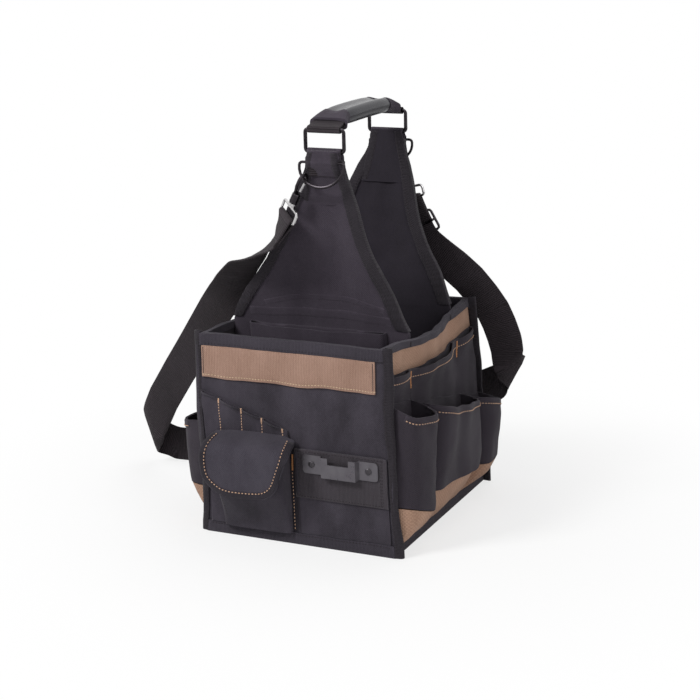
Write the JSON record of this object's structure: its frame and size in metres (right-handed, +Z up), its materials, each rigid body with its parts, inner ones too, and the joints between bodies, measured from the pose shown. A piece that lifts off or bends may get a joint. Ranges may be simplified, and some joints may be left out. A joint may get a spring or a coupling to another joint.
{
  "type": "open tool carrier bag",
  "caption": "Open-top cloth tool carrier with outside pockets, two tall dividers, a padded carry handle on wire rings and a hooked shoulder strap.",
  "frame": {"origin": "centre of the base board's underside", "axes": "+X along the front panel to its right end, +Y from the front panel to the rear panel, +Z up"},
  "size_m": [0.461, 0.3401, 0.4517],
  "materials": {
    "black_cloth": "coarse plain weave, matt",
    "black_tape": "ribbed binding tape, matt",
    "tan_cloth": "coarse plain weave and ribbed tape, matt",
    "black_webbing": "ribbed woven webbing with a slight sheen",
    "dark_metal": "dark plated, half gloss",
    "bright_metal": "bright plated",
    "grip_vinyl": "soft smooth vinyl with a satin sheen"
  },
  "bodies": {
    "bag": {"base_binding": "black_tape", "base_board": "black_cloth", "clip_plate": "dark_metal", "clip_rivet_left": "dark_metal", "clip_rivet_right": "dark_metal", "clip_webbing": "black_webbing", "closure_patch": "black_webbing", "corner_binding_front_left": "black_tape", "corner_binding_front_right": "black_tape", "corner_binding_rear_left": "black_tape", "corner_binding_rear_right": "black_tape", "d_ring_tab_front": "black_webbing", "d_ring_tab_rear": "black_webbing", "divider_pocket": "black_cloth", "front_divider": "black_cloth", "front_divider_binding_left": "black_tape", "front_divider_binding_right": "black_tape", "front_lower_pocket": "black_cloth", "front_panel": "black_cloth", "front_tan_strip": "tan_cloth", "hook_swivel_front": "bright_metal", "hook_swivel_rear": "bright_metal", "left_back_pockets": "black_cloth", "left_gusset": "tan_cloth", "left_panel": "tan_cloth", "left_pocket_front": "black_cloth", "left_pocket_middle": "black_cloth", "left_pocket_rear": "black_cloth", "lug_front": "black_webbing", "lug_rear": "black_webbing", "pouch_body": "black_cloth", "rear_divider": "black_cloth", "rear_divider_binding_left": "black_tape", "rear_divider_binding_right": "black_tape", "rear_panel": "black_cloth", "rear_pocket": "black_cloth", "rear_tan_strip": "tan_cloth", "right_back_pockets": "black_cloth", "right_gusset": "tan_cloth", "right_panel": "tan_cloth", "right_pocket_front": "black_cloth", "right_pocket_middle": "black_cloth", "right_pocket_rear": "black_cloth", "rim_binding": "black_tape", "shoulder_strap": "black_webbing", "slot_pocket": "black_cloth", "strap_slide": "dark_metal"},
    "handle": {"handle_webbing": "black_webbing", "handle_grip": "grip_vinyl", "handle_sleeve_front": "black_cloth", "handle_sleeve_rear": "black_cloth"},
    "ring_front": {"ring_front": "dark_metal"},
    "ring_rear": {"ring_rear": "dark_metal"},
    "pouch_flap": {"pouch_flap": "black_cloth"},
    "d_ring_front": {"d_ring_front": "dark_metal"},
    "d_ring_rear": {"d_ring_rear": "dark_metal"},
    "hook_front": {"hook_front": "dark_metal"},
    "hook_rear": {"hook_rear": "dark_metal"},
    "hook_gate_front": {"hook_gate_front": "bright_metal"},
    "hook_gate_rear": {"hook_gate_rear": "bright_metal"}
  },
  "joints": [
    {"name": "ring_front_turn", "type": "hinge", "parent": "bag", "child": "ring_front", "pos_m": [0.0135, -0.072, 0.4095], "axis": [1, 0, 0], "range_deg": [-35, 35]},
    {"name": "ring_rear_turn", "type": "hinge", "parent": "bag", "child": "ring_rear", "pos_m": [0.0135, 0.088, 0.4095], "axis": [1, 0, 0], "range_deg": [-35, 35]},
    {"name": "handle_turn", "type": "hinge", "parent": "ring_front", "child": "handle", "pos_m": [0.0135, -0.072, 0.4325], "axis": [1, 0, 0], "range_deg": [-35, 35]},
    {"name": "flap_lift", "type": "hinge", "parent": "bag", "child": "pouch_flap", "pos_m": [-0.05004, -0.12969, 0.1186], "axis": [-1, 0, 0], "range_deg": [0, 80]},
    {"name": "d_ring_front_swing", "type": "hinge", "parent": "bag", "child": "d_ring_front", "pos_m": [0.0135, -0.0797, 0.3995], "axis": [1, 0, 0], "range_deg": [-5, 8]},
    {"name": "d_ring_rear_swing", "type": "hinge", "parent": "bag", "child": "d_ring_rear", "pos_m": [0.0135, 0.0957, 0.3995], "axis": [1, 0, 0], "range_deg": [-5.5, 5]},
    {"name": "hook_front_swivel", "type": "hinge", "parent": "bag", "child": "hook_front", "pos_m": [-0.01618, -0.08514, 0.3619], "axis": [-0.4392, -0.0398, -0.8975], "range_deg": [-12, 12]},
    {"name": "hook_rear_swivel", "type": "hinge", "parent": "bag", "child": "hook_rear", "pos_m": [0.02179, 0.1045, 0.35256], "axis": [0.1292, 0.1006, -0.9865], "range_deg": [-12, 12]},
    {"name": "hook_gate_front_open", "type": "hinge", "parent": "hook_front", "child": "hook_gate_front", "pos_m": [-0.01224, -0.08033, 0.36801], "axis": [0.8859, -0.1849, -0.4254], "range_deg": [0, 25], "stiffness_Nm_per_rad": 0.02},
    {"name": "hook_gate_rear_open", "type": "hinge", "parent": "hook_rear", "child": "hook_gate_rear", "pos_m": [0.0207, 0.09918, 0.35937], "axis": [-0.9912, 0.0424, -0.1255], "range_deg": [0, 25], "stiffness_Nm_per_rad": 0.02}
  ],
  "couplings": [
    {"joint": "ring_rear_turn", "follows": "ring_front_turn", "ratio": 1},
    {"joint": "handle_turn", "follows": "ring_front_turn", "ratio": -1}
  ]
}
